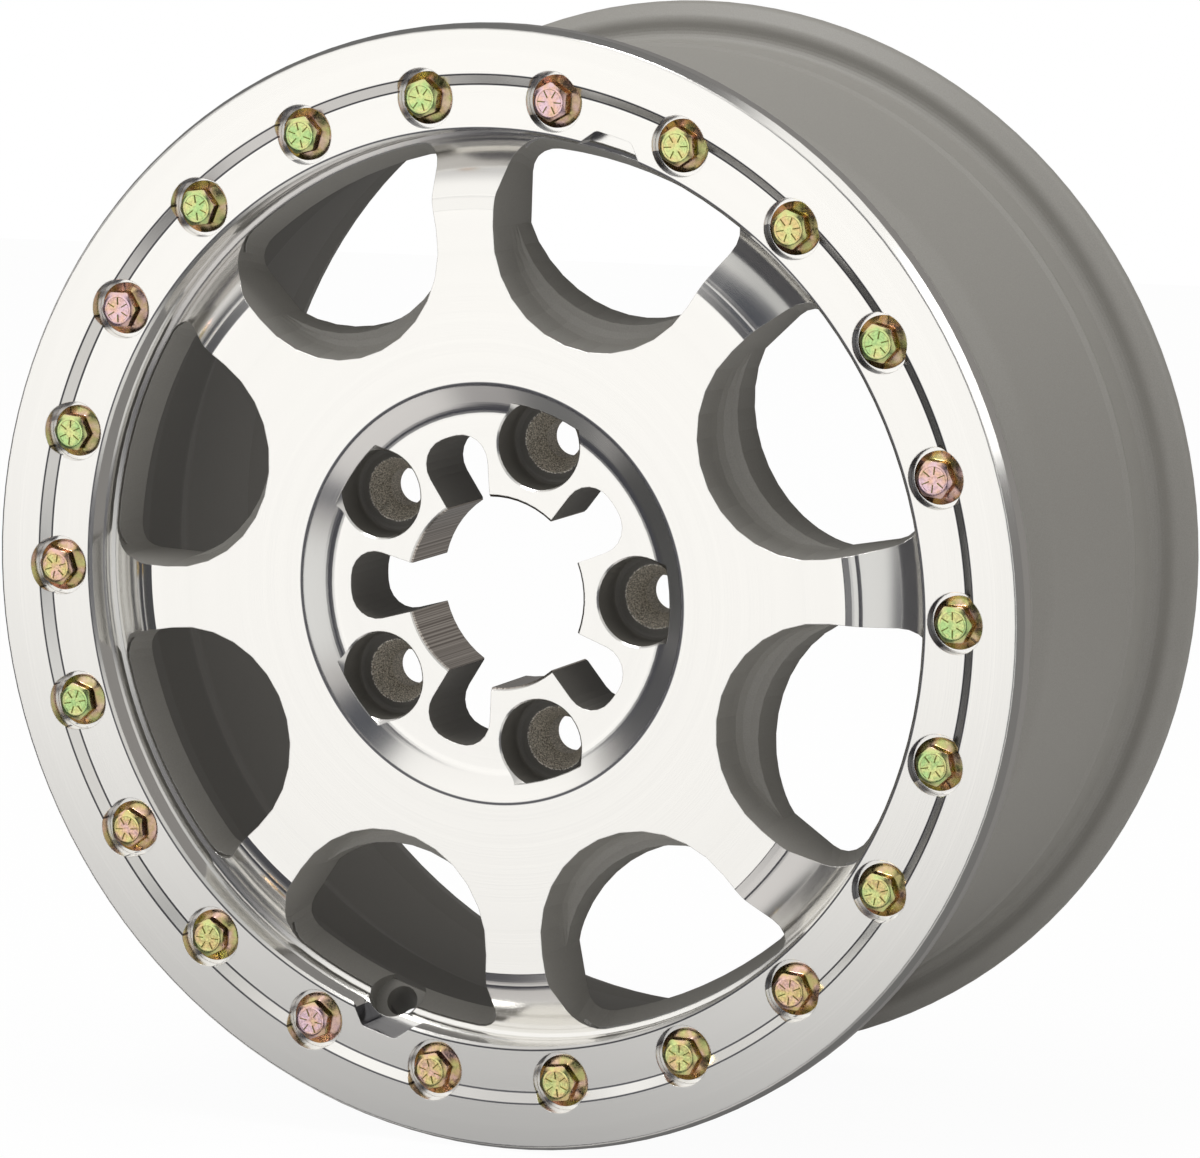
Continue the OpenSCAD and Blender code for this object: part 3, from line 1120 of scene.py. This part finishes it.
@dataclass
class Studio:
    """Floor, lamps, surroundings and camera."""

    floor_size: float = 6.0
    floor_colour: Colour = (0.92, 0.92, 0.92)
    floor_glow: float = 0.96
    lens_side: Place = (-0.42, -0.89, -0.15)
    room: tuple[tuple[float, Colour], ...] = (
        (0.0, (0.26, 0.25, 0.24)),
        (0.34, (0.14, 0.14, 0.14)),
        (0.46, (0.52, 0.51, 0.49)),
        (0.62, (0.76, 0.75, 0.73)),
        (0.81, (0.54, 0.52, 0.51)),
        (0.87, (0.07, 0.07, 0.08)),
        (1.0, (0.05, 0.05, 0.06)),
    )
    cards: tuple[Card, ...] = (
        Card((-0.42, -0.62, 0.66), 26.0, 8.0, (1.04, 1.03, 1.01)),
        Card((-0.42, -0.20, 0.88), 12.0, 8.0, (0.62, 0.61, 0.60)),
        Card((0.53, 0.26, 0.80), 18.0, 10.0, (1.0, 0.99, 0.97)),
        Card((0.44, -0.48, 0.75), 9.0, 7.0, (0.52, 0.52, 0.51)),
        Card((0.55, -0.83, -0.08), 15.0, 7.0, (0.76, 0.76, 0.75)),
        Card((0.27, -0.80, 0.54), 10.0, 4.0, (0.04, 0.045, 0.06)),
        Card((0.92, -0.36, -0.15), 14.0, 10.0, (0.14, 0.14, 0.15)),
        Card((0.05, -0.62, -0.78), 17.0, 9.0, (0.70, 0.68, 0.67)),
        Card((0.36, -0.755, -0.545), 3.5, 2.5, (0.03, 0.035, 0.055)),
        Card((0.33, -0.30, -0.90), 8.0, 6.0, (0.11, 0.11, 0.11)),
        Card((-0.42, 0.17, -0.89), 7.0, 4.0, (0.88, 0.87, 0.85)),
        Card((-0.42, -0.06, -0.905), 3.0, 3.0, (0.12, 0.12, 0.12)),
        Card((-0.66, -0.26, -0.70), 6.0, 7.0, (0.15, 0.15, 0.15)),
        Card((-0.93, -0.17, -0.31), 12.0, 8.0, (0.07, 0.07, 0.07)),
        Card((-0.93, -0.28, 0.13), 9.0, 6.0, (0.07, 0.07, 0.075)),
        Card((-0.935, -0.06, 0.36), 7.0, 6.0, (0.78, 0.77, 0.75)),
        Card((-0.985, 0.06, -0.15), 4.0, 4.0, (0.62, 0.61, 0.60)),
        Card((-0.95, 0.34, -0.12), 12.0, 8.0, (0.05, 0.05, 0.055)),
        Card((-0.42, -0.89, 0.0), 12.0, 8.0, (1.12, 1.11, 1.09)),
    )
    lamps: tuple[Lamp, ...] = (
        Lamp("side", (2.6, 0.5, 1.5), 1.6, 11.0),
        Lamp("top", (-0.3, -0.3, 2.8), 1.2, 36.0),
    )

    def build_floor(self) -> None:
        """Lays a pale floor that shows faintly under the wheel and isn't reflected in it."""
        low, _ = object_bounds()
        half = self.floor_size / 2
        data = bpy.data.meshes.new("floor")
        corners = [(x * half, y * half, low.z) for x, y in ((-1, -1), (1, -1), (1, 1), (-1, 1))]
        data.from_pydata(corners, [], [(0, 1, 2, 3)])
        floor = bpy.data.objects.new("floor", data)
        bpy.context.scene.collection.objects.link(floor)
        made = bpy.data.materials.new("floor")
        made.use_nodes = True
        graph = Graph(made.node_tree)
        shader = graph.node("ShaderNodeBsdfDiffuse")
        graph.link(opaque(self.floor_colour), shader.inputs[0])
        glow = graph.node("ShaderNodeEmission")
        rays = graph.node("ShaderNodeLightPath")
        mixed = graph.node("ShaderNodeMixShader")
        graph.link(graph.product(rays.outputs["Is Camera Ray"], self.floor_glow), mixed.inputs[0])
        graph.link(shader.outputs[0], mixed.inputs[1])
        graph.link(glow.outputs[0], mixed.inputs[2])
        out = graph.node("ShaderNodeOutputMaterial")
        graph.link(mixed.outputs[0], out.inputs[0])
        data.materials.append(made)
        floor.visible_glossy = False
        floor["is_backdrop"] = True
        LOG.info("floor at %.4f m", low.z)

    @staticmethod
    def share_towards(graph: Graph, sight: Socket, direction: Place) -> Socket:
        """Gives the cosine between the direction of sight and another direction.

        Args:
            graph: The world's graph.
            sight: The direction of sight.
            direction: The other direction.

        Returns:
            The cosine's socket.
        """
        made = graph.node("ShaderNodeVectorMath", operation="DOT_PRODUCT")
        graph.link(sight, made.inputs[0])
        made.inputs[1].default_value = Vector(direction).normalized()
        return made.outputs["Value"]

    def build_world(self) -> None:
        """Surrounds the wheel with a pale studio that is white behind it."""
        world = bpy.data.worlds.new("studio")
        bpy.context.scene.world = world
        world.use_nodes = True
        graph = Graph(world.node_tree)
        where = graph.node("ShaderNodeTexCoord")
        near = self.share_towards(graph, where.outputs["Generated"], self.lens_side)
        room = graph.ramp(graph.math(Op.ADD, graph.product(near, 0.5), 0.5), self.room)
        for card in self.cards:
            near = self.share_towards(graph, where.outputs["Generated"], card.direction)
            rim = math.cos(math.radians(card.half_angle + card.soft_edge))
            cover = graph.smooth(near, rim, math.cos(math.radians(card.half_angle)))
            room = graph.mix(cover, room, opaque(card.colour))
        rays = graph.node("ShaderNodeLightPath")
        shown = graph.mix(rays.outputs["Is Camera Ray"], room, opaque((1, 1, 1)))
        back = graph.node("ShaderNodeBackground")
        graph.link(shown, back.inputs[0])
        out = graph.node("ShaderNodeOutputWorld")
        graph.link(back.outputs[0], out.inputs[0])

    def build_lamp(self, lamp: Lamp) -> None:
        """Hangs a lamp.

        Args:
            lamp: The lamp.
        """
        data = bpy.data.lights.new(lamp.name, "AREA")
        data.size = lamp.size
        data.energy = lamp.power
        made = bpy.data.objects.new(lamp.name, data)
        bpy.context.scene.collection.objects.link(made)
        made.location = lamp.place
        made.rotation_mode = "QUATERNION"
        made.rotation_quaternion = (-Vector(lamp.place)).to_track_quat("-Z", "Y")

    def build_camera(self) -> None:
        """Sets the camera where the photograph was taken from."""
        view = PhotoView()
        data = bpy.data.cameras.new("camera")
        data.sensor_width = view.sensor
        data.lens = view.focal_pixels * view.sensor / view.image_width
        camera = bpy.data.objects.new("camera", data)
        bpy.context.scene.collection.objects.link(camera)
        camera.matrix_world = view.pose()
        bpy.context.scene.camera = camera

    def build(self) -> None:
        """Builds the whole studio."""
        self.build_floor()
        self.build_world()
        for lamp in self.lamps:
            self.build_lamp(lamp)
        self.build_camera()


@dataclass(frozen=True)
class PhotoView:
    """Where the photograph was taken from, worked out from the ring of bolts and the lug holes."""

    azimuth: float = 25.20
    elevation: float = 8.66
    roll: float = 0.365
    offset: Place = (-0.224, -0.032, 12.401)
    unit: float = 0.18
    bolt_top: float = 0.0357
    focal_pixels: float = 6192.0
    image_width: float = 1200.0
    sensor: float = 36.0

    def pose(self) -> Matrix:
        """The camera's place and direction in the wheel's frame.

        Returns:
            The camera's matrix.
        """
        az, el = math.radians(self.azimuth), math.radians(self.elevation)
        right = Vector((math.cos(az), math.sin(az), 0))
        ahead = Vector((-math.sin(az) * math.cos(el), math.cos(az) * math.cos(el), -math.sin(el)))
        up = right.cross(ahead)
        across, rise, depth = self.offset
        eye = -(right * across + up * rise + ahead * depth) * self.unit - Vector((0, self.bolt_top, 0))
        turn = Matrix.Rotation(math.radians(self.roll), 4, "Y")
        axes = Matrix((right, up, -ahead)).transposed().to_4x4()
        return turn @ Matrix.Translation(eye) @ axes


def main() -> None:
    """Builds the wheel's looks and the studio."""
    logging.basicConfig(level=logging.INFO, format="%(name)s: %(message)s")
    bpy.context.scene.view_settings.view_transform = "Standard"
    effects = Effects()
    TurnedPieces().dress(effects)
    RingBolts().dress(effects)
    Studio().build()


if __name__ == "__main__":
    main()
